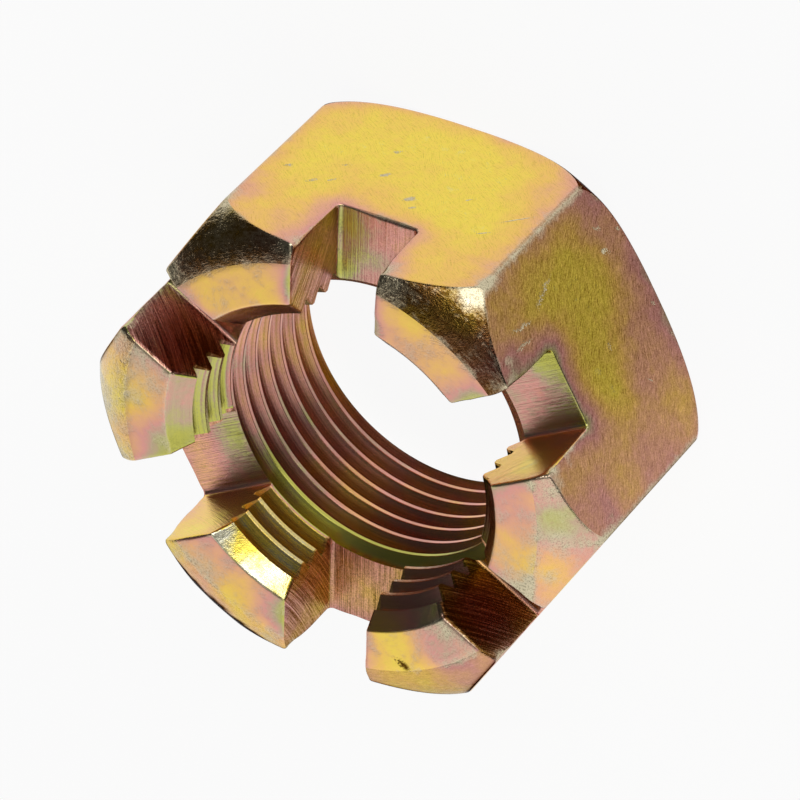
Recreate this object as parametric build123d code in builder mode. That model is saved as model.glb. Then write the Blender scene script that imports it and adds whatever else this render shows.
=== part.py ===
from build123d import *
import math
import os

# A castle nut: a hexagon nut with six radial slots cut into its top for a cotter pin.
# Millimetres, +Z up. The origin is the centre of the bearing face, and the thread axis is Z.
# Two corners of the hexagon lie on X, so the slots open at 30, 90, 150 ... degrees.

# Hexagon
across_flats = 36.5
height = 20.1
corner_rounding = 0.6

# Turned ends: each is domed, and falls away towards the six corners along an arc
castle_dome_width = 4.0
castle_dome_drop = 3.2
castle_dome_bulge = 0.7
bearing_dome_width = 2.8
bearing_dome_rise = 3.0
bearing_dome_bulge = 0.5

# Bore of a 1 inch, 14 threads per inch nut, at the thread's crests
bore_diameter = 23.8
castle_countersink = 1.8
bearing_countersink = 1.8

# Slots: one in the middle of each flat, a little wider at the mouth than at the floor
slot_count = 6
slot_depth = 6.6
slot_floor_width = 6.5
slot_mouth_width = 6.8
slot_root_radius = 0.4
slot_edge_break = 0.25

# Sizes that follow from those above
across_corners = across_flats / math.cos(math.pi / slot_count)
corner_radius = across_corners / 2
bore_radius = bore_diameter / 2
slot_floor_height = height - slot_depth
slot_draft = (slot_mouth_width - slot_floor_width) / 2 / slot_depth
cutter_overshoot = 2.0


# Slot cutter: the slot's cross-section, rounded at the floor, drawn out from the axis past the flat
with BuildPart() as slot_cutter:
    with BuildSketch(Plane.YZ) as slot_section:
        with BuildLine():
            half_floor = slot_floor_width / 2
            half_top = slot_mouth_width / 2 + slot_draft * cutter_overshoot
            cutter_top = height + cutter_overshoot
            Polyline(
                (-half_floor, slot_floor_height),
                (half_floor, slot_floor_height),
                (half_top, cutter_top),
                (-half_top, cutter_top),
                close=True,
            )
        make_face()
        fillet(slot_section.vertices().group_by(Axis.Y)[0], radius=slot_root_radius)
    extrude(amount=corner_radius + cutter_overshoot)


with BuildPart() as castle_nut:
    # Hexagon bar, with its long edges a little rounded
    with BuildSketch():
        RegularPolygon(radius=across_flats / 2, side_count=slot_count, major_radius=False)
    extrude(amount=height)
    fillet(castle_nut.edges().filter_by(Axis.Z), radius=corner_rounding)

    # Turned form of both ends, which leaves curved edges on the flats. The profile is drawn
    # anticlockwise, so a negative sagitta bends a dome's arc outward.
    with BuildSketch(Plane.XZ):
        with BuildLine():
            Polyline(
                (corner_radius - castle_dome_width, height),
                (0, height),
                (0, 0),
                (corner_radius - bearing_dome_width, 0),
            )
            SagittaArc(
                (corner_radius - bearing_dome_width, 0),
                (corner_radius, bearing_dome_rise),
                -bearing_dome_bulge,
            )
            Line((corner_radius, bearing_dome_rise), (corner_radius, height - castle_dome_drop))
            SagittaArc(
                (corner_radius, height - castle_dome_drop),
                (corner_radius - castle_dome_width, height),
                -castle_dome_bulge,
            )
        make_face()
    revolve(axis=Axis.Z, mode=Mode.INTERSECT)

    # Bore, countersunk at both ends
    Hole(radius=bore_radius)
    bore_rims = castle_nut.edges().filter_by(GeomType.CIRCLE).filter_by(lambda e: e.radius == bore_radius)
    chamfer(bore_rims.sort_by(Axis.Z)[-1], length=castle_countersink)
    chamfer(bore_rims.sort_by(Axis.Z)[0], length=bearing_countersink)

    # Six slots, one through the middle of each flat
    with PolarLocations(0, slot_count, start_angle=180 / slot_count):
        add(slot_cutter.part, mode=Mode.SUBTRACT)

    # Rims of the slots, broken all round and left sharp only in the bore. A slot's walls are the
    # only flat faces that look back across the axis. On each flat the break runs on round the floor.
    slot_walls = (
        castle_nut.faces()
        .filter_by(GeomType.PLANE)
        .filter_by(lambda face: face.center().dot(face.normal_at()) < -slot_edge_break)
    )
    slot_rims = (
        slot_walls.edges()
        .filter_by(lambda edge: (edge @ 0.5).Z > slot_floor_height + slot_root_radius)
        .filter_by(lambda edge: math.hypot((edge @ 0.5).X, (edge @ 0.5).Y) > bore_radius + slot_edge_break)
    )
    chamfer(slot_rims, length=slot_edge_break)

castle_nut.part.label = "castle_nut"

os.makedirs("parts", exist_ok=True)
export_step(castle_nut.part, "parts/castle_nut.step")
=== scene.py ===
import math

import bmesh
import bpy
import numpy as np
from mathutils import Matrix, Vector, noise


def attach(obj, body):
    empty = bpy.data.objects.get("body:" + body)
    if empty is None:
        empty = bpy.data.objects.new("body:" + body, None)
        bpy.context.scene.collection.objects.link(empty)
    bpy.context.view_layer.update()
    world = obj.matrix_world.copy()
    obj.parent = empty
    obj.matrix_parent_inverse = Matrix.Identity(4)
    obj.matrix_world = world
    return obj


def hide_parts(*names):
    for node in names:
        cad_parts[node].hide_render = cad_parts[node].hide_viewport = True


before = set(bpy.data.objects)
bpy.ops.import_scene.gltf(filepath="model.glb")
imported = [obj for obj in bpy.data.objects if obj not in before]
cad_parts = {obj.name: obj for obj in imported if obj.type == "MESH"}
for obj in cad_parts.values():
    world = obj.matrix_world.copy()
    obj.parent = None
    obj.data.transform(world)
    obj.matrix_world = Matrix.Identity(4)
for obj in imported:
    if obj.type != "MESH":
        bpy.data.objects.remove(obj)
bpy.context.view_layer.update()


# The blank: a slice of cold drawn hexagon bar in carbon steel, faced to length. Both ends are
# turned to a dome that falls away to the six corners, and the bore is drilled small and
# countersunk at both ends, ready for the tap.
MM = 0.001
ACROSS_FLATS = 36.5
HEIGHT = 20.1
SIDES = 6
FLAT = ACROSS_FLATS / 2
CORNER_ANGLE = math.pi / SIDES
CORNER_REACH = FLAT / math.cos(CORNER_ANGLE)
CORNER_ACROSS = FLAT * math.tan(CORNER_ANGLE)
CORNER_ROUNDING = 0.61
EDGE_ROUNDING = 0.16
CASTLE_FACE_RADIUS = 17.07
CASTLE_DROP, CASTLE_BULGE = 3.2, 0.7
BEARING_FACE_RADIUS = 18.27
BEARING_RISE, BEARING_BULGE = 3.0, 0.5
DRILL_RADIUS = 11.0
COUNTERSINK_RADIUS = 13.7


def arc_through(inner_radius, drop, bulge):
    """Radius, and centre as (reach, depth below the end face), of a dome's turned arc."""
    run = CORNER_REACH - inner_radius
    chord = math.hypot(run, drop)
    radius = (chord ** 2 / 4 + bulge ** 2) / (2 * bulge)
    inset = radius - bulge
    reach = (inner_radius + CORNER_REACH) / 2 - inset * drop / chord
    depth = drop / 2 + inset * run / chord
    return radius, reach, depth


CASTLE_ARC = arc_through(CASTLE_FACE_RADIUS, CASTLE_DROP, CASTLE_BULGE)
BEARING_ARC = arc_through(BEARING_FACE_RADIUS, BEARING_RISE, BEARING_BULGE)


def dome_depth(reach, arc):
    """How far below its end face a turned dome lies at a distance from the axis."""
    radius, centre, depth = arc
    return depth - np.sqrt(radius ** 2 - np.clip(reach - centre, 0, radius) ** 2)


def dome_distance(reach, below, arc):
    """Distance from a turned dome's surface, negative inside it."""
    radius, centre, depth = arc
    out, up = reach - centre, depth - below
    return np.hypot(np.maximum(out, 0), np.maximum(up, 0)) + np.minimum(np.maximum(out, up), 0) - radius


def meet(a, b, rounding):
    """Joins two surfaces' distances along an outer edge of that rounding."""
    over = np.hypot(np.maximum(a + rounding, 0), np.maximum(b + rounding, 0))
    return over - rounding + np.minimum(np.maximum(a, b) + rounding, 0)


def sector(points):
    """Folds points into one slot's share: along the slot, across it, height, and reach from the axis."""
    angle = np.arctan2(points[:, 1], points[:, 0]) - CORNER_ANGLE
    angle = (angle + CORNER_ANGLE) % (2 * CORNER_ANGLE) - CORNER_ANGLE
    reach = np.hypot(points[:, 0], points[:, 1])
    return reach * np.cos(angle), np.abs(reach * np.sin(angle)), points[:, 2], reach


def blank_distance(points):
    """Distance of points from the blank's surface in mm, negative inside the steel."""
    along, across, z, reach = sector(points)
    core = FLAT - CORNER_ROUNDING
    beyond = np.maximum(across - core * math.tan(CORNER_ANGLE), 0)
    bar = np.where(along > core, np.hypot(along - core, beyond), along - core) - CORNER_ROUNDING
    castle = np.maximum(dome_distance(reach, HEIGHT - z, CASTLE_ARC), z - HEIGHT)
    bearing = np.maximum(dome_distance(reach, z, BEARING_ARC), -z)
    outside = meet(meet(bar, castle, EDGE_ROUNDING), bearing, EDGE_ROUNDING)
    cones = np.maximum(z - HEIGHT, -z) + COUNTERSINK_RADIUS - reach
    inside = np.maximum(cones / math.sqrt(2), DRILL_RADIUS - reach)
    return meet(outside, inside, EDGE_ROUNDING / 2)


# The slots: six, sawn through the castle end for the cotter pin, one in the middle of each flat.
# Each is a little wider at the mouth and has a small root radius. Tumbling with other nuts has
# broken the rims unevenly, most of all at the points where dome, flat and slot meet.
SLOT_FLOOR = 13.5
FLOOR_WIDTH = 6.5
MOUTH_WIDTH = 6.8
ROOT_RADIUS = 0.4
RIM_ROUNDING = 0.2
RIM_UNEVENNESS = 0.14
UNEVEN_PATCH = 0.9
POINT_ROUNDING = 0.45
POINT_REACH = 1.0
POINT_DROP = 1.1
# Rims that were knocked harder than the rest: place, reach of the knock, more rounding
KNOCKED = [
    ((10.5, -9.9, HEIGHT), 2.6, 0.25),
    ((16.0, -5.3, 19.6), 1.6, 0.5),
    ((-15.0, 5.2, HEIGHT), 3.0, 0.2),
    ((0.6, FLAT, SLOT_FLOOR), 2.4, 0.14),
]


def half_slot(z):
    """Half the slot's width at a height."""
    return FLOOR_WIDTH / 2 + (MOUTH_WIDTH - FLOOR_WIDTH) / 2 * (z - SLOT_FLOOR) / (HEIGHT - SLOT_FLOOR)


def nut_distance(points, rim):
    """Distance from the slotted blank, with its rims worn to a rounding given for each point."""
    _, across, z, _ = sector(points)
    slot = -meet(across - half_slot(z), SLOT_FLOOR - z, ROOT_RADIUS)
    return meet(blank_distance(points), slot, rim)


def point_distance(along, across, z):
    """Distance from the nearest of the points where a dome, a flat and a slot meet."""
    return np.sqrt((along - FLAT) ** 2 + (across - MOUTH_WIDTH / 2) ** 2 + (z - HEIGHT + POINT_DROP) ** 2)


def patch(points, x, y, z, radius):
    """1 at a place on the nut in mm, falling away over a radius."""
    return np.exp(-((points - np.array([x, y, z])) ** 2).sum(-1) / radius ** 2)


# Distances from an edge in mm at which the mesh gets a line of points, to carry its rounding
RIM_STEPS = np.array([0, 0.07, 0.15, 0.25, 0.38, 0.55, 0.8, 1.15])


def stations(length, coarse, at_start=True, at_end=True):
    """Fractions of a length, close together beside the ends that are edges."""
    lead = RIM_STEPS if at_start else RIM_STEPS[:1]
    tail = length - (RIM_STEPS if at_end else RIM_STEPS[:1])[::-1]
    count = max(int(math.ceil((tail[0] - lead[-1]) / coarse)), 1)
    middle = np.linspace(lead[-1], tail[0], count + 1)[1:-1]
    return np.concatenate([lead, middle, tail]) / length


def lerp(a, b, share):
    """The value at a share of the way from a to b."""
    return a + (b - a) * share


def polar(reach, angle, z):
    """Points from a distance and an angle about the axis, and a height."""
    reach, angle, z = np.broadcast_arrays(reach, angle, z)
    return np.stack([reach * np.cos(angle), reach * np.sin(angle), z], axis=-1)


def flat_points(across, z):
    """Points on the flat of the sector that lies along X."""
    across, z = np.broadcast_arrays(across, z)
    return np.stack([np.full(across.shape, FLAT), across, z], axis=-1)


# The mesh's lines over each surface, from its rough length and their spacing in mm
WALL_RISE = stations(5.5, 0.7)
DOME_RUN = stations(3.0, 0.5, at_end=False)
FACE_RUN = stations(3.4, 0.6, at_start=False)
CONE_RUN = stations(3.8, 0.8, at_end=False)
BEARING_RUN = stations(4.5, 0.8)
BEARING_DOME_RUN = stations(2.4, 0.5, at_start=False)
SKIRT_RISE = stations(10.5, 0.7)
PRONG_SHARE = stations(7.3, 0.45)
SLOT_SHARE = stations(3.25, 0.6, at_start=False)
CREST_GUESS = 1.0
CREST_ROUNDS = 6


def prong_rows(share):
    """Half a prong: rows run up the flat, over the dome and face, and down the bore to the slot floor."""
    # A prong is narrower higher up, so the height of the flat's curved top edge is found in rounds
    crest = np.full(share.shape, HEIGHT - CREST_GUESS)
    for _ in range(CREST_ROUNDS):
        edge = lerp(half_slot(crest), CORNER_ACROSS, share)
        crest = HEIGHT - dome_depth(np.hypot(FLAT, edge), CASTLE_ARC)
    rows = [flat_points(lerp(half_slot(z), CORNER_ACROSS, share), z)
            for z in (lerp(SLOT_FLOOR, crest, s) for s in WALL_RISE)]
    flat_angle = np.arctan2(edge, FLAT)
    flat_share = (flat_angle - flat_angle[0]) / (CORNER_ANGLE - flat_angle[0])
    border = np.hypot(FLAT, edge)

    def row(reach, z, along_row):
        """One row's points, from the slot's wall to the middle of the prong."""
        start = np.arcsin(half_slot(z) / reach)
        return polar(reach, lerp(start, CORNER_ANGLE, along_row), z)

    for s in DOME_RUN[1:]:
        reach = lerp(border, CASTLE_FACE_RADIUS, s)
        rows.append(row(reach, HEIGHT - dome_depth(reach, CASTLE_ARC), lerp(flat_share, share, s)))
    for s in FACE_RUN[1:]:
        rows.append(row(lerp(CASTLE_FACE_RADIUS, COUNTERSINK_RADIUS, s), HEIGHT, share))
    for s in CONE_RUN[1:]:
        reach = lerp(COUNTERSINK_RADIUS, DRILL_RADIUS, s)
        rows.append(row(reach, HEIGHT - COUNTERSINK_RADIUS + reach, share))
    cone_end = HEIGHT - COUNTERSINK_RADIUS + DRILL_RADIUS
    for s in WALL_RISE[::-1][1:]:
        rows.append(row(DRILL_RADIUS, lerp(SLOT_FLOOR, cone_end, s), share))
    return np.array(rows)


def skirt_rows(across, bore_angle):
    """Below the slots: rows run down the bore, over the bearing end and up the flat."""
    angle = np.arctan2(across, FLAT)
    cone_end = COUNTERSINK_RADIUS - DRILL_RADIUS
    border = np.hypot(FLAT, across)
    rows = []
    for s in (0, 0.5, 1):
        rows.append(polar(DRILL_RADIUS, lerp(bore_angle, angle, s), lerp(SLOT_FLOOR, cone_end, s)))
    for s in CONE_RUN[1:]:
        rows.append(polar(lerp(DRILL_RADIUS, COUNTERSINK_RADIUS, s), angle, lerp(cone_end, 0, s)))
    for s in BEARING_RUN[1:]:
        rows.append(polar(lerp(COUNTERSINK_RADIUS, BEARING_FACE_RADIUS, s), angle, 0.0))
    for s in BEARING_DOME_RUN[1:]:
        reach = lerp(BEARING_FACE_RADIUS, border, s)
        rows.append(polar(reach, angle, dome_depth(reach, BEARING_ARC)))
    start = dome_depth(border, BEARING_ARC)
    for s in SKIRT_RISE[1:]:
        rows.append(flat_points(across, lerp(start, SLOT_FLOOR, s)))
    return np.array(rows)


def wall_rows(floor_line, rise_line, top_line, bore_line):
    """A slot's wall, spread between the four lines that bound it."""
    up = WALL_RISE[:, None, None]
    run = np.hypot(*np.diff(floor_line[:, ::2], axis=0).T)
    run = np.concatenate([[0], np.cumsum(run)])
    out = (run / run[-1])[None, :, None]
    spread = ((1 - up) * floor_line[None] + up * top_line[None]
              + (1 - out) * rise_line[:, None] + out * bore_line[:, None]
              - (1 - up) * (1 - out) * floor_line[0] - (1 - up) * out * floor_line[-1]
              - up * (1 - out) * top_line[0] - up * out * top_line[-1])
    spread[..., 1] = half_slot(spread[..., 2])
    return spread


# The lines over a slot's floor carry on from those of the dome, face and countersink beside it,
# which take up these lengths of it, in mm
BY_DOME, BY_FACE, BY_CONE = 1.9, 2.8, 3.0

prong_sheet = prong_rows(PRONG_SHARE)
half_floor = FLOOR_WIDTH / 2
slot_across = SLOT_SHARE * half_floor
bore_edge = np.sqrt(DRILL_RADIUS ** 2 - slot_across ** 2)
floor_run = np.concatenate([
    DOME_RUN * BY_DOME, BY_DOME + FACE_RUN[1:] * BY_FACE, BY_DOME + BY_FACE + CONE_RUN[1:] * BY_CONE,
]) / (BY_DOME + BY_FACE + BY_CONE)
floor_sheet = np.array([
    np.stack([lerp(FLAT, bore_edge, s), slot_across, np.full(slot_across.shape, SLOT_FLOOR)], axis=-1)
    for s in floor_run
])
skirt_across = np.concatenate([slot_across, lerp(half_floor, CORNER_ACROSS, PRONG_SHARE)[1:]])
bore_start = math.asin(half_floor / DRILL_RADIUS)
skirt_bore = np.concatenate([
    np.arcsin(slot_across / DRILL_RADIUS), lerp(bore_start, CORNER_ANGLE, PRONG_SHARE)[1:]])
skirt_sheet = skirt_rows(skirt_across, skirt_bore)
# A prong's first and last rows run up the flat and down the bore beside the slot's wall
rise = len(WALL_RISE)
wall_sheet = wall_rows(floor_sheet[:, -1], prong_sheet[:rise, 0], prong_sheet[rise - 1:-rise + 1, 0],
                       prong_sheet[-rise:, 0][::-1])

# Half a sector is mirrored and turned to all six, and welded into one closed skin where points
# lie less than this many metres apart
WELD = 2e-6
skin_points, skin_quads = [], []
for sheet in (prong_sheet, floor_sheet, skirt_sheet, wall_sheet):
    rows, columns = sheet.shape[:2]
    index = np.arange(rows * columns).reshape(rows, columns)
    cells = np.stack([index[:-1, :-1], index[1:, :-1], index[1:, 1:], index[:-1, 1:]], axis=-1).reshape(-1, 4)
    for mirror in (1, -1):
        for side in range(SIDES):
            angle = CORNER_ANGLE * (2 * side + 1)
            x, y, z = sheet.reshape(-1, 3).T
            y = y * mirror
            turned = np.stack([x * math.cos(angle) - y * math.sin(angle),
                               x * math.sin(angle) + y * math.cos(angle), z], axis=-1)
            before = sum(len(points) for points in skin_points)
            skin_quads.append((cells if mirror == 1 else cells[:, ::-1]) + before)
            skin_points.append(turned)

blank_mesh = bpy.data.meshes.new("blank")
blank_mesh.from_pydata((np.concatenate(skin_points) * MM).tolist(), [], np.concatenate(skin_quads).tolist())
skin = bmesh.new()
skin.from_mesh(blank_mesh)
bmesh.ops.remove_doubles(skin, verts=skin.verts, dist=WELD)
bmesh.ops.recalc_face_normals(skin, faces=skin.faces)
skin.to_mesh(blank_mesh)
skin.free()


def read(source, name, width):
    """A mesh's values as rows, such as every vertex's co."""
    values = np.empty(len(source) * width)
    source.foreach_get(name, values)
    return values.reshape(-1, width)


# Every point then settles on the rounded form, with its rim as worn as it is at that place
SETTLING_ROUNDS = 8
LONGEST_MOVE = 0.2
PROBE = 0.001
points = read(blank_mesh.vertices, "co", 3) / MM
along, across, z, _ = sector(points)
uneven = np.array([noise.noise(Vector(p) / UNEVEN_PATCH) for p in points])
worn_point = np.exp(-(point_distance(along, across, z) / POINT_REACH) ** 2)
rim = RIM_ROUNDING + RIM_UNEVENNESS * uneven + POINT_ROUNDING * worn_point
for place, spread, more in KNOCKED:
    rim += more * patch(points, *place, spread)
for _ in range(SETTLING_ROUNDS):
    gap = nut_distance(points, rim)
    slope = np.stack([(nut_distance(points + step, rim) - nut_distance(points - step, rim)) / (2 * PROBE)
                      for step in np.eye(3) * PROBE], axis=-1)
    points -= np.clip(gap / (slope ** 2).sum(-1), -LONGEST_MOVE, LONGEST_MOVE)[:, None] * slope
blank_mesh.vertices.foreach_set("co", (points * MM).ravel())
blank_mesh.update()
nut = bpy.data.objects.new("castle_nut_plated", blank_mesh)
bpy.context.scene.collection.objects.link(nut)


# The thread: right-handed, 14 to the inch, cut in the drilled bore by a tap. The sweep below is
# the tap's envelope: it leaves narrow flat crests in the steel, with 30 degree flanks down to a
# narrow root. It starts at the bearing face and runs out through the slots.
PITCH = 25.4 / 14
CREST_RADIUS = 11.9
CREST_FLAT = 0.34
ROOT_FLAT = 0.32
FLANK_ANGLE = math.radians(30)
THREAD_DEPTH = (PITCH - CREST_FLAT - ROOT_FLAT) / 2 / math.tan(FLANK_ANGLE)
THREAD_START = -0.06
CREST_BREAK = 0.03
TURNS_BELOW, TURNS_ABOVE = 3, 13
TURN_STEPS = 216
CLEARANCE = 2.0
SHARP_FROM = math.radians(28)

half_crest, half_root = CREST_FLAT / 2, ROOT_FLAT / 2
mid_flank = (half_crest + PITCH / 2 - half_root) / 2
break_run = CREST_BREAK * math.tan(FLANK_ANGLE)
tap_section = [
    (-half_crest + 2 * break_run, CREST_RADIUS),
    (half_crest - 2 * break_run, CREST_RADIUS),
    (half_crest + break_run, CREST_RADIUS + CREST_BREAK),
    (mid_flank, CREST_RADIUS + THREAD_DEPTH / 2),
    (PITCH / 2 - half_root, CREST_RADIUS + THREAD_DEPTH),
    (PITCH / 2 + half_root, CREST_RADIUS + THREAD_DEPTH),
    (PITCH - mid_flank, CREST_RADIUS + THREAD_DEPTH / 2),
    (PITCH - half_crest - break_run, CREST_RADIUS + CREST_BREAK),
]
turns = range(-TURNS_BELOW, TURNS_ABOVE)
rises = np.array([THREAD_START + PITCH * turn + dz for turn in turns for dz, _ in tap_section])
radii = np.array([r for _ in turns for _, r in tap_section])
angles = np.arange(TURN_STEPS) * 2 * math.pi / TURN_STEPS
tap = polar(radii[:, None], angles[None], rises[:, None] + PITCH * angles[None] / (2 * math.pi))
rows, lap = len(rises), len(tap_section)
index = np.arange(rows * TURN_STEPS).reshape(rows, TURN_STEPS)
tap_faces = np.stack([index[:-1, :-1], index[:-1, 1:], index[1:, 1:], index[1:, :-1]], axis=-1)
tap_faces = tap_faces.reshape(-1, 4).tolist()
# After a full turn, each line of the section carries on as the one that lies a pitch above it
tap_faces += [[int(index[m, -1]), int(index[m + lap, 0]), int(index[m + lap + 1, 0]), int(index[m + 1, -1])]
              for m in range(rows - lap - 1)]
tap_points = tap.reshape(-1, 3).tolist()
low_rim = [int(i) for i in index[0]] + [int(index[m, 0]) for m in range(lap, 0, -1)]
high_rim = [int(i) for i in index[-1]] + [int(index[m, -1]) for m in range(rows - 2, rows - lap - 2, -1)]
for loop, hub_height in ((low_rim, rises[0] - CLEARANCE), (high_rim, rises[-1] + PITCH + CLEARANCE)):
    tap_points.append([0.0, 0.0, float(hub_height)])
    hub = len(tap_points) - 1
    tap_faces += [[loop[i], loop[(i + 1) % len(loop)], hub] for i in range(len(loop))]
tap_mesh = bpy.data.meshes.new("tap")
tap_mesh.from_pydata([[v * MM for v in p] for p in tap_points], [], tap_faces)
skin = bmesh.new()
skin.from_mesh(tap_mesh)
bmesh.ops.recalc_face_normals(skin, faces=skin.faces)
skin.to_mesh(tap_mesh)
skin.free()
tap_tool = bpy.data.objects.new("tap", tap_mesh)
bpy.context.scene.collection.objects.link(tap_tool)
cut = nut.modifiers.new("tapping", "BOOLEAN")
cut.operation = "DIFFERENCE"
cut.solver = "MANIFOLD"
cut.object = tap_tool
nut_mesh = bpy.data.meshes.new_from_object(nut.evaluated_get(bpy.context.evaluated_depsgraph_get()))
nut.modifiers.clear()
nut.data = nut_mesh
bpy.data.objects.remove(tap_tool)
nut_mesh.shade_smooth()
nut_mesh.set_sharp_from_angle(angle=SHARP_FROM)

# Which cut made each face: the machined surface that it lies on, or else the tap. A face of the
# thread lies off all the others or, inside the bore, just beside one, in mm
FLATS, DOME, UNDER_DOME, FACE, UNDER_FACE, CONE, UNDER_CONE, SLOT, THREAD = range(9)
OFF_SURFACE = 0.12
BESIDE_SURFACE = 0.004
BORE_MARGIN = 0.3


def surface_gaps(points):
    """Distance in mm of points from each machined surface, one column for each."""
    along, across, z, reach = sector(points)
    return np.abs(np.stack([
        along - FLAT,
        dome_distance(reach, HEIGHT - z, CASTLE_ARC),
        dome_distance(reach, z, BEARING_ARC),
        z - HEIGHT,
        z,
        (HEIGHT - z - COUNTERSINK_RADIUS + reach) / math.sqrt(2),
        (z - COUNTERSINK_RADIUS + reach) / math.sqrt(2),
        -meet(across - half_slot(z), SLOT_FLOOR - z, ROOT_RADIUS),
    ], axis=-1))


centres = read(nut_mesh.polygons, "center", 3) / MM
gaps = surface_gaps(centres)
surface = gaps.argmin(axis=-1)
nearest = gaps.min(axis=-1)
in_bore = np.hypot(centres[:, 0], centres[:, 1]) < COUNTERSINK_RADIUS - BORE_MARGIN
beside = in_bore & (nearest > BESIDE_SURFACE) & (surface != SLOT)
surface[(nearest > OFF_SURFACE) | beside] = THREAD


# The finish: a zinc plate with a yellow chromate film over the whole nut. The film is thinner
# than a wavelength of light, so its colour follows its thickness: yellow in the middle of a
# flat, then orange, rose and a greyish green towards the edges and in the cuts.
FILM_COLOURS = [
    (0.00, "#EFEACC"), (0.14, "#F5DC58"), (0.33, "#F4C76A"), (0.50, "#ECB388"),
    (0.66, "#E1A196"), (0.79, "#C6AC90"), (0.89, "#BEBB72"), (1.00, "#BFBC5C"),
]
BARE_ZINC = "#D2C6A6"
ZINC_PITS = "#A0967C"
# The brown towards which thick film and painted shade darken the colour
FILM_AND_SHADE_BROWN = "#46270A"
WHITE = "#FFFFFF"
BROAD_PATCH, SMALL_PATCH = 5.0, 1.6


def fade(distance, reach):
    """1 at an edge, falling away with distance in mm."""
    return np.exp(-np.maximum(distance, 0) / reach)


def cloud(points, size, seed=0.0):
    """Soft unevenness about 0, with patches of a size in mm."""
    return np.array([noise.noise(Vector(p) / size + Vector((seed, seed, seed))) for p in points])


# Everything about the finish is worked out at each corner of each face
TEETH_FROM = SLOT_FLOOR + 0.3
FLANK_FROM = CREST_RADIUS + 0.02
vertices = read(nut_mesh.vertices, "co", 3) / MM
loops = np.empty(len(nut_mesh.loops), np.int32)
nut_mesh.loops.foreach_get("vertex_index", loops)
sides = np.empty(len(nut_mesh.polygons), np.int32)
nut_mesh.polygons.foreach_get("loop_total", sides)
made = np.repeat(surface, sides)
at = vertices[loops]
gaps = surface_gaps(vertices)[loops]
along, across, z, reach = sector(at)
angle = np.arctan2(at[:, 1], at[:, 0])
corner_gap = CORNER_ACROSS - across
broad = cloud(vertices, BROAD_PATCH)[loops]
small = cloud(vertices, SMALL_PATCH, 7.0)[loops]
teeth = (made == THREAD) & (z > TEETH_FROM)
flank = np.repeat(np.hypot(*centres[:, :2].T) > FLANK_FROM, sides)

# Thickness of the film, 0 to 1. Every prong and every slot held the bath in its own way. Prongs
# are counted round from the corner on X, and slots from the one after it.
PRONG_FILM = np.array([
    # dome, end face, countersink, thread teeth
    (0.70, 0.48, 0.45, 0.85),
    (0.40, 0.42, 0.45, 0.50),
    (0.40, 0.34, 0.45, 0.60),
    (0.36, 0.44, 0.62, 0.94),
    (0.44, 0.42, -0.1, 0.12),
    (0.45, 0.38, 0.54, 0.62),
])
SLOT_FILM = np.array([
    # floor, the wall before it, the wall after it
    (0.58, 0.32, 0.50),
    (0.62, 0.50, 0.28),
    (0.60, 0.50, 0.50),
    (0.60, 0.50, 0.32),
    (0.52, 0.36, 0.50),
    (0.50, 0.25, 0.50),
])
# On flats, the usual thickness, the least before anything is added to it, and the least after
FLAT_FILM, FLAT_THINNEST, FLAT_LEAST = 0.12, 0.06, 0.16
# On the thread in the bore
CREST_FILM, FLANK_FILM = 0.6, 0.5
# Where it is thicker, each as how much and over how many mm: beside an edge of a surface, beside
# the corners, towards the castle end of a flat, down a countersink and at a slot's mouth
THICKER_EDGES = [(FLATS, SLOT, 0.42, 1.3), (FLATS, DOME, 0.08, 0.8), (FLATS, UNDER_DOME, 0.3, 1.0),
                 (FACE, SLOT, 0.34, 0.7)]
CORNER_FILM, CORNER_FILM_RUN = 0.06, 2.5
CASTLE_END_FILM, CASTLE_END_FROM, CASTLE_END_RUN = 0.1, 12.0, 3.0
CONE_FILM_SLOPE = 0.12
MOUTH_FILM, MOUTH_FILM_RUN = 0.14, 1.4
# The last turn of the thread below the slots is greener about one angle: how much, from what
# height and over how many mm, at what angle in radians, and how sharply it ends round the bore
TOP_TURN_FILM = 0.52
TOP_TURN_FROM, TOP_TURN_RUN = 11.3, 0.3
TOP_TURN_ANGLE, TOP_TURN_GAIN, TOP_TURN_CUT = -1.3, 1.8, 0.5


def varied(level, broadly, finely):
    """A thickness that varies this much over broad patches and over small ones."""
    return level + broadly * broad + finely * small


prong = np.round(angle / (2 * CORNER_ANGLE)).astype(int) % SIDES
slot_turn = np.round((angle / CORNER_ANGLE - 1) / 2).astype(int)
slot = slot_turn % SIDES
offset = reach * np.sin(angle - (2 * slot_turn + 1) * CORNER_ANGLE)
on_floor = z < SLOT_FLOOR + ROOT_RADIUS / 2
part = np.where(on_floor, 0, np.where(offset < 0, 1, 2))

film = np.zeros(len(at))
on = made == FLATS
film[on] = np.maximum(varied(FLAT_FILM, 0.14, 0.09), FLAT_THINNEST)[on]
for kinds, column, broadly in (((DOME, UNDER_DOME), 0, 0.35), ((FACE, UNDER_FACE), 1, 0.3),
                               ((CONE, UNDER_CONE), 2, 0.3)):
    on = np.isin(made, kinds)
    film[on] = varied(PRONG_FILM[prong, column], broadly, 0.12)[on]
on = made == SLOT
film[on] = varied(SLOT_FILM[slot, part], 0.25, 0.1)[on]
top_turn = np.clip((z - TOP_TURN_FROM) / TOP_TURN_RUN, 0, 1)
top_turn *= np.clip(TOP_TURN_GAIN * np.cos(angle - TOP_TURN_ANGLE) - TOP_TURN_CUT, 0, 1)
on = made == THREAD
film[on] = (varied(np.where(flank, FLANK_FILM, CREST_FILM), 0.24, 0.16) + TOP_TURN_FILM * top_turn)[on]
film[teeth] = varied(PRONG_FILM[prong, 3], 0.2, 0.1)[teeth]
for kind, edge, more, run in THICKER_EDGES:
    film += more * (made == kind) * fade(gaps[:, edge], run)
film += CORNER_FILM * (made == FLATS) * fade(corner_gap, CORNER_FILM_RUN)
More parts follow.
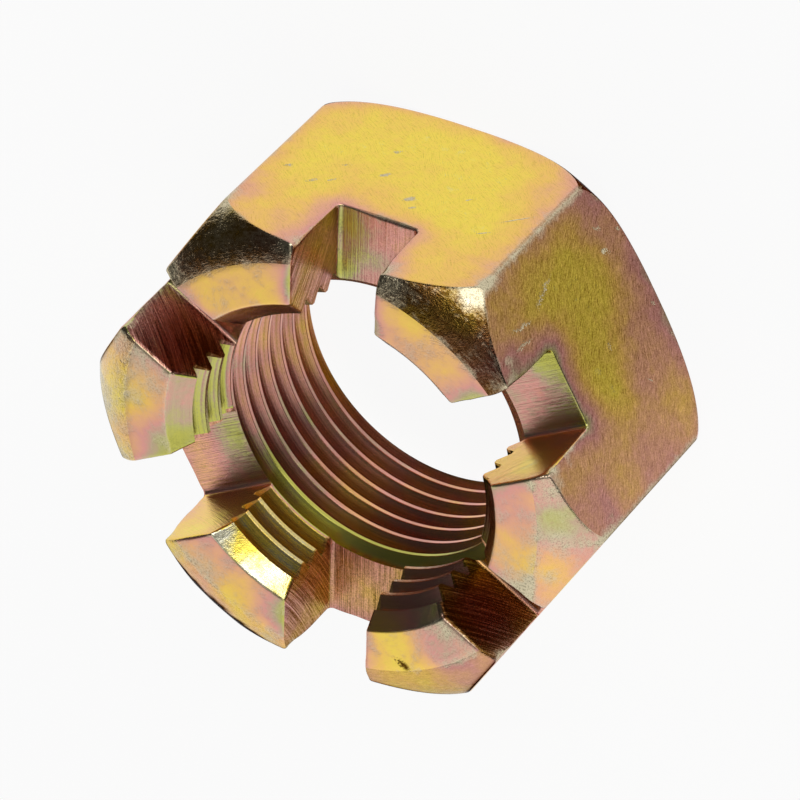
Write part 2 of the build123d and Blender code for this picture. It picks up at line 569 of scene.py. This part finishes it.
film += CASTLE_END_FILM * (made == FLATS) * np.clip((z - CASTLE_END_FROM) / CASTLE_END_RUN, 0, 1)
film += CONE_FILM_SLOPE * (made == CONE) * (COUNTERSINK_RADIUS - reach)
film += MOUTH_FILM * (made == SLOT) * fade(FLAT - along, MOUTH_FILM_RUN)

# Marks of uneven drainage out of the bath, each as (x, y, z, radius, change of thickness)
DRAINED = [
    # flats
    (12.6, 14.7, 8.0, 5.0, -0.06), (17.0, 7.1, 9.0, 1.6, -0.12), (17.4, 6.2, 12.6, 1.6, 0.2),
    (18.4, 4.6, 11.4, 2.4, 0.13), (11.6, 16.4, 2.6, 3.2, 0.24), (14.2, 12.0, 1.8, 3.0, 0.2),
    (19.6, 2.5, 9.0, 5.0, 0.18), (19.6, 2.5, 16.5, 3.0, 0.18), (16.5, 8.0, 14.5, 2.2, 0.25),
    (13.4, 13.2, 18.0, 2.5, 0.2), (16.6, 8.4, 1.0, 4.5, 0.36), (18.0, 5.3, 4.5, 5.0, 0.12),
    (18.3, 1.6, 15.5, 2.2, 0.16),
    # domes
    (18.3, 2.6, 19.6, 1.8, 0.25), (18.4, -2.9, 19.6, 2.0, -0.16),
    # castle faces
    (4.5, -14.5, 20.1, 3.0, -0.1), (9.5, -12.0, 20.1, 2.5, 0.24), (-5.0, -14.5, 20.1, 2.2, 0.2),
    (-14.6, 3.8, 20.1, 2.4, 0.16), (-14.0, -3.6, 20.1, 2.4, 0.12), (-17.0, 0.0, 20.1, 2.0, -0.14),
    (11.2, 10.2, 20.1, 2.0, 0.16), (11.7, 11.0, 20.1, 1.3, 0.16), (-3.0, 15.2, 20.1, 1.5, 0.32),
    # slots and bore
    (-3.2, 13.0, 13.5, 1.6, 0.34), (-3.2, 16.5, 13.5, 1.8, 0.32), (3.4, 13.0, 13.5, 1.6, 0.42),
    (-11.5, -2.0, 9.0, 7.0, 0.12), (13.9, 11.2, 13.5, 2.0, 0.28), (-11.8, -5.6, 13.5, 1.8, 0.28),
    (-3.3, 12.6, 16.5, 2.5, 0.24), (11.3, -10.4, 16.8, 2.2, 0.35),
]
for x, y, height, radius, change in DRAINED:
    film += change * patch(at, x, y, height, radius)
film = np.maximum(film, FLAT_LEAST * (made == FLATS))

# How dark each place is made, 0 to 1: partly a thick brown film, partly painted shade that stands in for the
# darker reflections of one flat, two domes, the slot walls and the bore. A negative value keeps the tool
# lines from darkening it
PRONG_SHADE = np.array([
    # dome, countersink, thread teeth
    (0.0, 0.65, 0.75),
    (0.88, 0.4, 0.3),
    (0.72, 0.4, 0.3),
    (0.0, 0.05, 0.05),
    (0.1, 0.0, 0.5),
    (0.3, 0.0, 0.35),
])
SLOT_SHADE = np.array([
    # floor, the wall before it, the wall after it
    (-0.1, -0.15, 0.3),
    (0.1, 0.3, 0.35),
    (0.0, 0.3, 0.65),
    (0.0, 0.3, -0.2),
    (0.45, 0.5, 0.3),
    (0.1, 0.92, 0.3),
])
# The flat between the first two corners, in painted shade and partly thicker film: how dark, how much less
# per mm towards X, margin in mm
FIRST_FLAT_SHADE, FIRST_FLAT_SLOPE, FIRST_FLAT_MARGIN = 0.62, 0.02, 0.3
# Painted shade in the bore: flanks dark towards one angle, crests only near theirs, and less so on the last
# turn; on the teeth, more on flanks than on crests
FLANK_SHADE, FLANK_LEAST, FLANK_DARK_ANGLE = 0.62, 0.02, math.radians(-112)
CREST_SHADE, CREST_DARK_ANGLE, CREST_DARK_SPREAD = 0.5, -2.4, 0.5
TOP_TURN_CLEARS = 0.9
TOOTH_FLANKS, TOOTH_CRESTS = 1.15, 0.5
# Painted shade as a dark outline on the last three prongs: along the lower edges of the dome, and on one all
# round its outer edge
LIMB_SHADE, LIMB_RUN = 0.9, 0.1
ROUND_LIMB_PRONG, ROUND_LIMB_REACH, ROUND_LIMB_RUN = 4, 18.6, 0.2
# Patches of painted shade in the recesses of the cuts, each as (kind of surface, x, y, z, radius, how much
# darker)
DARKER = [(SLOT, -12.2, 3.3, 16.5, 2.4, 0.35), (CONE, -8.9, 8.3, 18.6, 1.3, 0.8)]

shade = np.zeros(len(at))
first_flat = at[:, 0] * math.cos(CORNER_ANGLE) + at[:, 1] * math.sin(CORNER_ANGLE)
on = (made == FLATS) & (first_flat > FLAT - FIRST_FLAT_MARGIN)
shade[on] = (FIRST_FLAT_SHADE + FIRST_FLAT_SLOPE * np.minimum(offset, 0))[on]
for kinds, column in (((DOME, UNDER_DOME), 0), ((CONE, UNDER_CONE), 1)):
    on = np.isin(made, kinds)
    shade[on] = PRONG_SHADE[prong, column][on]
on = made == SLOT
shade[on] = SLOT_SHADE[slot, part][on]
flank_shade = FLANK_SHADE * np.cos(angle - FLANK_DARK_ANGLE) + FLANK_LEAST
flank_shade *= 1 - TOP_TURN_CLEARS * top_turn
crest_shade = CREST_SHADE * np.exp(-((angle - CREST_DARK_ANGLE) / CREST_DARK_SPREAD) ** 2) * (1 - top_turn)
on = made == THREAD
shade[on] = np.where(flank, flank_shade, crest_shade)[on]
shade[teeth] = (PRONG_SHADE[prong, 2] * np.where(flank, TOOTH_FLANKS, TOOTH_CRESTS))[teeth]
for kind, x, y, height, radius, more in DARKER:
    shade += more * (made == kind) * patch(at, x, y, height, radius)
round_limb = np.clip((reach - ROUND_LIMB_REACH) / ROUND_LIMB_RUN, 0, 1) * (prong == ROUND_LIMB_PRONG)
limb = np.maximum(round_limb, fade(gaps[:, FLATS] - LIMB_RUN, LIMB_RUN))
shade += LIMB_SHADE * (made == DOME) * (prong >= SIDES // 2) * limb

# How far the film and the top of the zinc are rubbed off: for each prong along its corner and
# over its dome, where a negative value protects it
CORNER_WEAR = np.array([0.65, 0.7, 0.5, 0.6, 0.7, 0.6])
DOME_WEAR = np.array([0.26, 0.34, 0.4, 0.45, -0.3, -0.1])
# A corner is worn over this many mm beside it, and only this far out
CORNER_WEAR_RUN, CORNER_WEAR_REACH = 0.5, 18
# How much, and over how many mm, at the points beside the slots, at the tops of the corners, on
# the thread's teeth, along the rims and where a rim was knocked. Fine patches vary some of them
POINT_WEAR, POINT_WEAR_RUN = 0.9, 0.8
PEAK_WEAR, PEAK_WEAR_RUN, PEAK_STRETCH = 0.5, 0.8, 0.8
TOOTH_WEAR, TOOTH_WEAR_RUN = 0.5, 0.1
RIM_WEAR, RIM_WEAR_RUN, RIM_WEAR_VARIES = 0.46, 0.14, 0.35
KNOCK_WEAR, KNOCK_WEAR_RUN = 2.5, 0.25
FLAT_WEAR, FLAT_WEAR_VARIES = 0.07, 0.14
# Rims inside the bore and at the bearing face are out of reach
RIM_FROM_RADIUS, RIM_FROM_HEIGHT = COUNTERSINK_RADIUS - 0.2, 1
# Rubbed places, each as (x, y, z, radius, how much more)
RUBBED = [
    (17.7, 4.6, 19.2, 0.9, 0.4), (13.3, 13.6, 18.6, 0.8, 0.3), (18.6, 0.3, 19.5, 1.2, 0.25),
    (18.0, -2.7, 19.7, 0.8, 0.3), (-19.1, -1.7, 19.2, 1.2, 0.35), (-16.0, 0.3, 20.1, 0.7, 0.3),
    (-10.2, -12.6, 20.1, 0.8, 0.3), (18.2, 1.6, 19.4, 2.0, 0.2), (13.6, -8.2, 20.1, 1.0, 0.3),
    (-12.9, -12.9, 19.9, 1.0, 0.5), (-4.9, -17.5, 19.8, 1.1, 0.5), (4.6, 17.2, 19.4, 1.3, 0.3),
    (-13.3, 11.9, 19.3, 1.3, 0.3), (0.2, 18.25, 13.4, 1.0, 0.3), (2.3, 18.25, 13.4, 0.8, 0.3),
    (17.5, 6.1, 16.6, 1.0, 0.4), (17.5, 6.1, 14.5, 0.7, 0.25), (9.2, 15.9, 19.0, 1.8, -0.22),
    (12.6, 12.6, 19.3, 1.4, -0.15),
]
# Bare, burnished zinc on two domes where their highlights fall: partly wear, partly a painted highlight, each
# as (x, y, z, radius, how much more)
DOME_RUBS_AND_HIGHLIGHTS = [(10.0, 18.0, 17.2, 1.1, 1.2), (-3.8, 17.8, 18.8, 0.7, 1.0)]

wear = CORNER_WEAR[prong] * fade(corner_gap, CORNER_WEAR_RUN) * (reach > CORNER_WEAR_REACH)
wear += POINT_WEAR * fade(point_distance(along, across, z), POINT_WEAR_RUN)
peak_gap = np.hypot(corner_gap * PEAK_STRETCH, z - HEIGHT + CASTLE_DROP)
wear += PEAK_WEAR * fade(peak_gap, PEAK_WEAR_RUN) + DOME_WEAR[prong] * (made == DOME)
wear += TOOTH_WEAR * teeth * fade(reach - CREST_RADIUS, TOOTH_WEAR_RUN)
# Two surfaces meet where the second nearest of them is near too
rim_gap = np.sort(gaps, axis=-1)[:, 1]
knocks = sum(more * patch(at, *place, spread) for place, spread, more in KNOCKED)
worn_rims = (RIM_WEAR + RIM_WEAR_VARIES * small) * fade(rim_gap, RIM_WEAR_RUN)
worn_rims += KNOCK_WEAR * knocks * fade(rim_gap, KNOCK_WEAR_RUN)
worn_rims *= (reach > RIM_FROM_RADIUS) * (z > RIM_FROM_HEIGHT)
wear = np.maximum(wear, worn_rims)
for x, y, height, radius, more in RUBBED:
    wear += more * patch(at, x, y, height, radius)
wear += (FLAT_WEAR + FLAT_WEAR_VARIES * small) * (made == FLATS)
for x, y, height, radius, more in DOME_RUBS_AND_HIGHLIGHTS:
    wear += (made == DOME) * more * patch(at, x, y, height, radius)

# Lines along which each tool cut, as coordinates in mm: first along the cut, then across it. The
# third keeps apart the patterns of different flats, floors and walls. Lengths along an arc are
# those at SAW_REACH from the saw's centre, or TURNED_REACH from the axis
SAW_CENTRE = (32.0, 42.0)
SAW_REACH = 30
TURNED_REACH = 15
FACET_STEP, WALL_STEP = 50, 20

# Turned surfaces run round the axis. Their angle starts anew between two faces and never inside
# one, at the slot that faces Y
face_angle = np.repeat(np.arctan2(centres[:, 1], centres[:, 0]), sides)
face_angle -= 2 * math.pi * (face_angle > math.pi / 2)
round_axis = face_angle + np.angle(np.exp(1j * (angle - face_angle)))
lay = np.stack([round_axis * TURNED_REACH, reach, z * 0], axis=-1)
# Flats are of two patterns in turn, and all but the first two are mirrored
on = made == FLATS
hand = np.where((slot_turn == 0) | (slot_turn == 1), 1, -1)
lay[on] = np.stack([offset * hand, z, FACET_STEP * (slot_turn % 2)], axis=-1)[on]
# A slot's floor is grooved along the slot, and its walls in wide arcs round the saw's centre
on = (made == SLOT) & on_floor
lay[on] = np.stack([along, offset, FACET_STEP * slot_turn], axis=-1)[on]
on = (made == SLOT) & ~on_floor
saw_out, saw_up = along - SAW_CENTRE[0], z - SAW_CENTRE[1]
saw_reach = np.hypot(saw_out, saw_up)
own_wall = FACET_STEP * slot_turn + WALL_STEP * np.sign(offset)
lay[on] = np.stack([np.arctan2(saw_up, saw_out) * SAW_REACH, saw_reach, own_wall], axis=-1)[on]

for name, values in (("film", film), ("shade", shade), ("wear", wear)):
    nut_mesh.attributes.new(name, "FLOAT", "CORNER").data.foreach_set("value", values)
nut_mesh.attributes.new("lay", "FLOAT_VECTOR", "CORNER").data.foreach_set("vector", lay.ravel())


def linear(code):
    """A colour written as sRGB hex, as the linear values that the shaders take."""
    parts = [int(code[i:i + 2], 16) / 255 for i in (1, 3, 5)]
    return tuple(c / 12.92 if c <= 0.04045 else ((c + 0.055) / 1.055) ** 2.4 for c in parts) + (1.0,)


def add(tree, kind, inputs=(), stops=(), **settings):
    """Adds a node with its settings. An input is a value, or the node or socket that feeds it."""
    node = tree.nodes.new(kind)
    for name, value in settings.items():
        setattr(node, name, value)
    for name, value in dict(inputs).items():
        if isinstance(value, bpy.types.Node):
            value = value.outputs[0]
        if isinstance(value, bpy.types.NodeSocket):
            tree.links.new(value, node.inputs[name])
        else:
            node.inputs[name].default_value = value
    if stops:
        node.color_ramp.elements.remove(node.color_ramp.elements[1])
        node.color_ramp.elements[0].position = stops[0][0]
        for position, _ in stops[1:]:
            node.color_ramp.elements.new(position)
        for spot, (_, code) in zip(node.color_ramp.elements, stops):
            spot.color = linear(code)
    return node


# What all the plated surfaces share: the size in mm of the film's mottling, how many patches of
# tool lines that run one way there are to a mm, and how strongly each pattern acts
MOTTLE = 0.8
LINE_PATCHES = 0.6
MOTTLED_FILM = 0.22
GRAINY_LINES = 0.5
MARK_BEND, MARK_EDGE, MARK_RAGGED = 1.2, 1.35, 1.5
DARKEST = 0.95
PATCHY_WEAR, LINED_WEAR = 0.7, 0.4
WEAR_STARTS, WEAR_ENDS = 0.34, 0.8
PIT_FLOOR, PIT_RIM = 0.38, 0.5
MOTTLE_HEIGHT = 2.0
BURNISHING = 5
FILM_LOSS = 0.02


def plate(name, roughness, grit, grit_height, stroke, stroke_height, stroke_film, stroke_dark,
          turn=0.0, scatter=0.0, marks=(), stains=()):
    """The plated surface that one kind of cut leaves.

    grit is the size of the steel's small pits and stroke the length and width of its tool lines,
    all in mm like their heights. stroke_film and stroke_dark say how much thicker and darker the
    film is in the lines. turn is the lines' angle, and scatter how far it varies from patch to
    patch. marks are bare nicks and stains dark ones: place along and across, facet, length, width,
    angle.
    """
    material = bpy.data.materials.new(name)
    material.use_nodes = True
    tree = material.node_tree
    shader = tree.nodes["Principled BSDF"]
    place = add(tree, "ShaderNodeTexCoord").outputs["Object"]
    film = add(tree, "ShaderNodeAttribute", attribute_name="film").outputs["Fac"]
    shade = add(tree, "ShaderNodeAttribute", attribute_name="shade").outputs["Fac"]
    wear = add(tree, "ShaderNodeAttribute", attribute_name="wear").outputs["Fac"]
    lay = add(tree, "ShaderNodeAttribute", attribute_name="lay").outputs["Vector"]
    pits = add(tree, "ShaderNodeTexNoise", {"Vector": place, "Scale": 1 / (grit * MM), "Detail": 2.0,
                                            "Roughness": 0.6})
    mottle = add(tree, "ShaderNodeTexNoise", {"Vector": place, "Scale": 1 / (MOTTLE * MM), "Detail": 4.0,
                                              "Roughness": 0.65})

    # Tool lines are noise drawn out along the cut, turned a little in each patch
    cells = add(tree, "ShaderNodeTexVoronoi", {"Vector": lay, "Scale": LINE_PATCHES})
    angle = add(tree, "ShaderNodeMath", {0: cells.outputs["Color"], 1: scatter, 2: turn},
                operation="MULTIPLY_ADD")
    turned = add(tree, "ShaderNodeVectorRotate", {"Vector": lay, "Angle": angle}, rotation_type="Z_AXIS")
    drawn = add(tree, "ShaderNodeVectorMath", {0: turned, 1: (1 / stroke[0], 1 / stroke[1], 1.0)},
                operation="MULTIPLY")
    lines = add(tree, "ShaderNodeTexNoise", {"Vector": drawn, "Scale": 1.0, "Detail": 3.0, "Roughness": 0.7})

    # Each pattern is brought from about 0.5 to about 0
    patchy = add(tree, "ShaderNodeMath", {0: mottle, 1: 0.5}, operation="SUBTRACT")
    specks = add(tree, "ShaderNodeMath", {0: pits, 1: 0.5}, operation="SUBTRACT")
    lined = add(tree, "ShaderNodeMath", {0: lines, 1: 0.5}, operation="SUBTRACT")
    lined = add(tree, "ShaderNodeMath", {0: specks, 1: GRAINY_LINES, 2: lined}, operation="MULTIPLY_ADD")

    # The film's thickness gives its colour
    thick = add(tree, "ShaderNodeMath", {0: patchy, 1: MOTTLED_FILM, 2: film}, operation="MULTIPLY_ADD")
    thick = add(tree, "ShaderNodeMath", {0: lined, 1: stroke_film, 2: thick}, operation="MULTIPLY_ADD")
    colour = add(tree, "ShaderNodeValToRGB", {"Fac": thick}, stops=FILM_COLOURS)

    bent = add(tree, "ShaderNodeMath", {0: patchy, 1: MARK_BEND, 2: specks}, operation="MULTIPLY_ADD")
    uneven_lay = add(tree, "ShaderNodeVectorMath", {0: lay, 1: bent}, operation="ADD")

    def spots(level, places):
        """Raises a level to 1 and more inside long or round spots."""
        for x, y, facet, length, width, slant in places:
            inside = add(tree, "ShaderNodeMapping", {
                "Vector": uneven_lay, "Location": (x, y, facet), "Rotation": (0, 0, math.radians(slant)),
                "Scale": (length / 2, width / 2, 1)}, vector_type="TEXTURE")
            away = add(tree, "ShaderNodeVectorMath", {0: inside}, operation="LENGTH").outputs["Value"]
            spot = add(tree, "ShaderNodeMath", {0: MARK_EDGE, 1: away}, operation="SUBTRACT")
            spot = add(tree, "ShaderNodeMath", {0: specks, 1: MARK_RAGGED, 2: spot}, operation="MULTIPLY_ADD")
            level = add(tree, "ShaderNodeMath", {0: level, 1: spot}, operation="MAXIMUM")
        return level

    # Painted shade, partly a thick brown film, over it, which also takes the shine off at grazing angles and
    # so paints dark outlines
    darker = add(tree, "ShaderNodeMath", {0: lined, 1: -stroke_dark, 2: shade}, operation="MULTIPLY_ADD")
    darker = add(tree, "ShaderNodeMath", {0: spots(darker, stains), 1: DARKEST}, operation="MINIMUM",
                 use_clamp=True)
    colour = add(tree, "ShaderNodeMix", {0: darker, 6: colour, 7: linear(FILM_AND_SHADE_BROWN)},
                 data_type="RGBA", blend_type="MULTIPLY").outputs[2]

    # Zinc bared by wear, grey in its pits
    rubbed = add(tree, "ShaderNodeMath", {0: patchy, 1: PATCHY_WEAR, 2: wear}, operation="MULTIPLY_ADD")
    rubbed = add(tree, "ShaderNodeMath", {0: lined, 1: LINED_WEAR, 2: rubbed}, operation="MULTIPLY_ADD")
    rubbed = spots(rubbed, marks)
    bare = add(tree, "ShaderNodeMapRange", {"Value": rubbed, "From Min": WEAR_STARTS, "From Max": WEAR_ENDS})
    above_pits = add(tree, "ShaderNodeMapRange", {"Value": pits, "From Min": PIT_FLOOR, "From Max": PIT_RIM})
    zinc = add(tree, "ShaderNodeMix", {0: above_pits, 6: linear(ZINC_PITS), 7: linear(BARE_ZINC)},
               data_type="RGBA").outputs[2]
    colour = add(tree, "ShaderNodeMix", {0: bare, 6: colour, 7: zinc}, data_type="RGBA").outputs[2]
    tree.links.new(colour, shader.inputs["Base Color"])
    shader.inputs["Metallic"].default_value = 1.0
    shader.inputs["Roughness"].default_value = roughness
    edge = add(tree, "ShaderNodeMix", {0: darker, 6: linear(WHITE), 7: linear(FILM_AND_SHADE_BROWN)}, data_type="RGBA")
    tree.links.new(edge.outputs[2], shader.inputs["Specular Tint"])

    # Relief: grit, burnished smoother where it is worn, then tool lines, less the lost film
    height = add(tree, "ShaderNodeMath", {0: mottle, 1: MOTTLE_HEIGHT, 2: pits}, operation="MULTIPLY_ADD")
    burnished = add(tree, "ShaderNodeMapRange", {"Value": bare, "To Min": grit_height,
                                                 "To Max": grit_height / BURNISHING})
    height = add(tree, "ShaderNodeMath", {0: height, 1: burnished}, operation="MULTIPLY")
    height = add(tree, "ShaderNodeMath", {0: lines, 1: stroke_height, 2: height}, operation="MULTIPLY_ADD")
    height = add(tree, "ShaderNodeMath", {0: bare, 1: -FILM_LOSS, 2: height}, operation="MULTIPLY_ADD")
    relief = add(tree, "ShaderNodeBump", {"Height": height, "Distance": MM})
    tree.links.new(relief.outputs[0], shader.inputs["Normal"])
    return material


# Flats keep the smooth drawn skin of the bar: satin, with short fine scratches from tumbling.
# Nicks let grey zinc through. Each is placed on its flat: facet 50 is the flat that faces Y, facet
# 0 the next one towards X, and the other flats mirror the two.
drawn_flat = plate(
    "drawn_flat_chromate", roughness=0.34, grit=0.12, grit_height=0.003, stroke=(1.1, 0.07),
    stroke_height=0.003, stroke_film=0.12, stroke_dark=1.3, turn=0.25, scatter=0.9, marks=[
        (8.65, 11.11, 50, 0.6, 0.4, 20), (6.35, 11.95, 50, 0.4, 0.3, 0), (5.24, 11.29, 50, 0.6, 0.2, 60),
        (2.19, 8.69, 50, 0.6, 0.4, 70), (2.84, 5.62, 50, 0.4, 0.4, 0), (-0.77, 10.46, 50, 0.7, 0.6, 40),
        (-1.5, 11.3, 50, 0.6, 0.3, 60), (-4.49, 8.35, 50, 0.6, 0.15, 50), (-8.56, 8.83, 50, 2.7, 0.14, 47),
        (-7.4, 11.44, 50, 1.0, 0.14, 40), (5.28, 9.06, 50, 0.35, 0.2, 10), (6.84, 11.7, 0, 3.1, 0.22, 111),
        (6.14, 15.4, 0, 2.6, 0.16, 82), (5.1, 16.2, 0, 2.3, 0.16, 88), (7.3, 3.06, 0, 0.7, 0.3, 80),
        (5.61, 3.45, 0, 0.9, 0.5, 70), (6.13, 0.99, 0, 0.6, 0.3, 40), (-0.21, 0.91, 0, 0.5, 0.3, 0),
        (-2.99, 0.5, 0, 0.4, 0.25, 0), (0.0, 7.6, 0, 0.9, 0.1, -26), (-4.3, 5.0, 0, 0.6, 0.12, 40),
    ])
# End faces were faced on a lathe and then rubbed in tumbling: a soft gleam, with fine marks that
# run all ways. Each has a dark stain.
turned_face = plate(
    "turned_face_chromate", roughness=0.3, grit=0.15, grit_height=0.003, stroke=(1.5, 0.1),
    stroke_height=0.002, stroke_film=0.08, stroke_dark=0.3, scatter=1.0,
    stains=[(-17.4, 16.55, 0, 1.0, 0.6, 60)])
# The tool tore the steel of the domes, so they are pitted and glitter, bright or dark by turns
turned_dome = plate(
    "turned_dome_chromate", roughness=0.17, grit=0.12, grit_height=0.036, stroke=(0.5, 0.2),
    stroke_height=0.004, stroke_film=0.1, stroke_dark=0.5)
# Countersinks shine, with a fine grain and the cutter's rings
turned_cone = plate(
    "turned_cone_chromate", roughness=0.2, grit=0.08, grit_height=0.018, stroke=(10.0, 0.1),
    stroke_height=0.006, stroke_film=0.1, stroke_dark=0.3)
# The saw left long grooves in the slots, in which the film runs from rose to green
sawn_slot = plate(
    "sawn_slot_chromate", roughness=0.26, grit=0.12, grit_height=0.002, stroke=(7.0, 0.12),
    stroke_height=0.026, stroke_film=0.35, stroke_dark=2.0)
# The tap left the thread smooth, with faint lines along its turns
tapped_thread = plate(
    "tapped_thread_chromate", roughness=0.24, grit=0.1, grit_height=0.002, stroke=(14.0, 0.1),
    stroke_height=0.01, stroke_film=0.5, stroke_dark=1.2)

finishes = [drawn_flat, turned_face, turned_dome, turned_cone, sawn_slot, tapped_thread]
finish_of = {
    FLATS: drawn_flat, DOME: turned_dome, UNDER_DOME: turned_dome, FACE: turned_face,
    UNDER_FACE: turned_face, CONE: turned_cone, UNDER_CONE: turned_cone, SLOT: sawn_slot,
    THREAD: tapped_thread,
}
nut_mesh.materials.clear()
for material in finishes:
    nut_mesh.materials.append(material)
finish_index = np.array([finishes.index(finish_of[kind]) for kind in range(len(finish_of))], np.int32)
nut_mesh.polygons.foreach_set("material_index", finish_index[surface])

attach(nut, "root")
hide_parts("castle_nut")


# The floor: a sheet of white photographic paper, which the camera and the polished metal see as
# evenly white, and which keeps the nut's soft shadow.
FLOOR_HALF = 2.0
PAPER = "#E8E8E8"
PAPER_GLOW = 0.92
floor_corners = [(-FLOOR_HALF, -FLOOR_HALF, 0), (FLOOR_HALF, -FLOOR_HALF, 0), (FLOOR_HALF, FLOOR_HALF, 0),
                 (-FLOOR_HALF, FLOOR_HALF, 0)]
floor_mesh = bpy.data.meshes.new("floor")
floor_mesh.from_pydata(floor_corners, [], [(0, 1, 2, 3)])
floor = bpy.data.objects.new("floor", floor_mesh)
bpy.context.scene.collection.objects.link(floor)
paper = bpy.data.materials.new("white_paper")
paper.use_nodes = True
tree = paper.node_tree
tree.nodes.clear()
rays = add(tree, "ShaderNodeLightPath")
seen = add(tree, "ShaderNodeMath", {0: rays.outputs["Is Camera Ray"], 1: rays.outputs["Is Glossy Ray"]},
           operation="MAXIMUM")
seen = add(tree, "ShaderNodeMath", {0: seen, 1: rays.outputs["Is Transmission Ray"]}, operation="MAXIMUM")
seen = add(tree, "ShaderNodeMath", {0: seen, 1: PAPER_GLOW}, operation="MULTIPLY")
lit = add(tree, "ShaderNodeBsdfDiffuse", {"Color": linear(PAPER)})
glow = add(tree, "ShaderNodeEmission", {"Color": linear(WHITE), "Strength": 1.0})
white_floor = add(tree, "ShaderNodeMixShader", {0: seen, 1: lit, 2: glow})
add(tree, "ShaderNodeOutputMaterial", {"Surface": white_floor})
floor_mesh.materials.append(paper)


# The studio: a dark room with a wide soft panel in front, a pale wall low to the left, a window
# low behind and a faint ceiling, which give the domes and the thread their dark bands. A softbox
# and a narrow strip light put the highlights on a countersink and the rims.
ROOM = 0.055
# Each as its direction, the angles in degrees within which it is full and past which it is gone,
# and its level
FRONT_PANEL = ((0.304, -0.809, 0.504), 48, 57, 1.0)
PALE_WALL = ((-0.79, -0.57, 0.12), 18, 32, 0.9)
WINDOW = ((0.5, 0.86, 0.2), 20, 27, 2.2)
CEILING = ((0.24, 0.15, 0.96), 15, 35, 0.25)
SOFTBOX = ((0.183, 0.683, 0.707), 5, 17, 2.8)
world = bpy.data.worlds.new("studio")
world.use_nodes = True
bpy.context.scene.world = world
tree = world.node_tree
tree.nodes.clear()
toward = add(tree, "ShaderNodeTexCoord").outputs["Generated"]
light = None
for direction, full, gone, level in (FRONT_PANEL, PALE_WALL, WINDOW, CEILING, SOFTBOX):
    facing = add(tree, "ShaderNodeVectorMath", {0: toward, 1: Vector(direction).normalized()},
                 operation="DOT_PRODUCT").outputs["Value"]
    panel = add(tree, "ShaderNodeMapRange", {
        "Value": facing, "From Min": math.cos(math.radians(gone)), "From Max": math.cos(math.radians(full)),
        "To Min": ROOM, "To Max": level}, interpolation_type="SMOOTHSTEP")
    light = panel if light is None else add(tree, "ShaderNodeMath", {0: light, 1: panel}, operation="MAXIMUM")
surroundings = add(tree, "ShaderNodeBackground", {"Strength": light, "Color": linear(WHITE)})
add(tree, "ShaderNodeOutputWorld", {"Surface": surroundings})

STRIP_DIRECTION = Vector((0.18, 0.722, 0.669)).normalized()
STRIP_DISTANCE = 0.5
STRIP_LENGTH, STRIP_WIDTH = 0.38, 0.04
STRIP_WATTS = 0.2
strip = bpy.data.lights.new("strip_light", "AREA")
strip.shape = "RECTANGLE"
strip.size = STRIP_LENGTH
strip.size_y = STRIP_WIDTH
strip.energy = STRIP_WATTS
strip_stand = bpy.data.objects.new("strip_light", strip)
strip_stand.location = STRIP_DIRECTION * STRIP_DISTANCE
strip_stand.rotation_euler = STRIP_DIRECTION.to_track_quat("Z", "Y").to_euler()
bpy.context.scene.collection.objects.link(strip_stand)


# The camera: a long lens, turned so that the nut stands on end in the picture with its castle
# end towards the lower left. Its place, in metres, and its turn were fitted to the nut's edges.
LENS, SENSOR = 289.024, 36
NEAREST, FARTHEST = 0.01, 10
RIGHT = Vector((0.8724017, 0.02375873, -0.48821183))
UP = Vector((-0.30384223, 0.80875158, -0.5035879))
CAMERA_PLACE = Vector((0.17986993, 0.27571792, 0.34434355))
camera = bpy.data.cameras.new("camera")
camera.lens = LENS
camera.sensor_width = SENSOR
camera.clip_start, camera.clip_end = NEAREST, FARTHEST
camera_stand = bpy.data.objects.new("camera", camera)
facing_back = Matrix((RIGHT, UP, RIGHT.cross(UP))).transposed().to_4x4()
camera_stand.matrix_world = Matrix.Translation(CAMERA_PLACE) @ facing_back
bpy.context.scene.collection.objects.link(camera_stand)
bpy.context.scene.camera = camera_stand
bpy.context.scene.view_settings.view_transform = "Standard"
